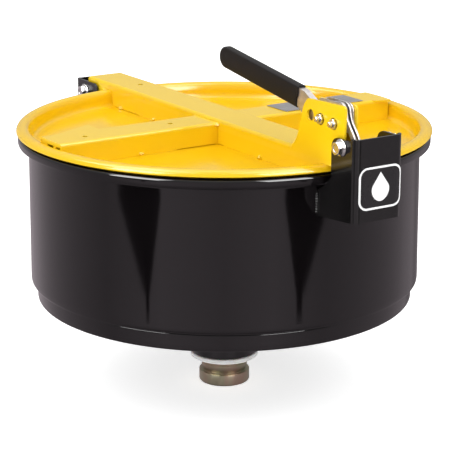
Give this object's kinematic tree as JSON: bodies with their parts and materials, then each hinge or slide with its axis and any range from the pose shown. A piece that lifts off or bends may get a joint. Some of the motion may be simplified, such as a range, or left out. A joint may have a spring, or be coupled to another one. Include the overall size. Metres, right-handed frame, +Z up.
{
  "type": "latching drum funnel with hinged lid",
  "caption": "Round steel funnel that screws into a drum opening, with a hinged lid stiffened by crossed channels and held shut by an over-centre hook latch.",
  "frame": {"origin": "on the bowl axis, at the underside of the drum gasket, which is where the funnel seats on a drum", "axes": "+Z up along the bowl axis, +X from the hinge to the latch, +Y completes the right-handed set"},
  "size_m": [0.6016, 0.48, 0.4119],
  "materials": {
    "yellow_enamel": "gloss",
    "charcoal_enamel": "gloss",
    "black_enamel": "gloss",
    "zinc_plate": "satin",
    "yellow_chromate": "satin",
    "black_vinyl": "satin",
    "black_rubber": "matte",
    "white_gasket": "matte",
    "emblem_print": "satin",
    "silver_foil": "satin"
  },
  "bodies": {
    "bowl": {"bowl_wall": "charcoal_enamel", "bowl_cone": "charcoal_enamel", "outlet_collar": "black_enamel", "drum_gasket": "white_gasket", "bung_adapter": "yellow_chromate", "strainer_plate": "yellow_chromate", "latch_keeper_bracket": "black_enamel", "hinge_bracket": "black_enamel", "keeper_bolt": "zinc_plate", "keeper_nut": "zinc_plate", "hinge_bolt": "zinc_plate", "hinge_nut": "zinc_plate", "emblem_plate": "emblem_print"},
    "lid": {"lid_pan": "yellow_enamel", "lid_gasket": "black_rubber", "long_beam": "yellow_enamel", "cross_beam_left": "yellow_enamel", "cross_beam_right": "yellow_enamel", "marking_plate": "silver_foil", "latch_far_cheek": "yellow_enamel", "latch_frame_near": "zinc_plate", "latch_frame_far": "zinc_plate", "pivot_bolt": "zinc_plate", "pivot_nut": "zinc_plate", "frame_bolt": "zinc_plate", "frame_nut": "zinc_plate"},
    "handle": {"handle_channel": "zinc_plate", "handle_grip": "black_vinyl", "hook_rivet": "zinc_plate"},
    "hook": {"hook_link": "zinc_plate"}
  },
  "joints": [
    {"name": "lid_hinge", "type": "hinge", "parent": "bowl", "child": "lid", "pos_m": [-0.286, 0, 0.276], "axis": [0, -1, 0], "range_deg": [0, 92]},
    {"name": "handle_pivot", "type": "hinge", "parent": "lid", "child": "handle", "pos_m": [0.2223, -0.016, 0.333], "axis": [0, 1, 0], "range_deg": [0, 105]},
    {"name": "hook_pivot", "type": "hinge", "parent": "handle", "child": "hook", "pos_m": [0.2086, -0.016, 0.3385], "axis": [0, 1, 0], "range_deg": [-84, 0]}
  ],
  "couplings": [
    {"joint": "hook_pivot", "follows": "handle_pivot", "ratio": -0.79}
  ]
}
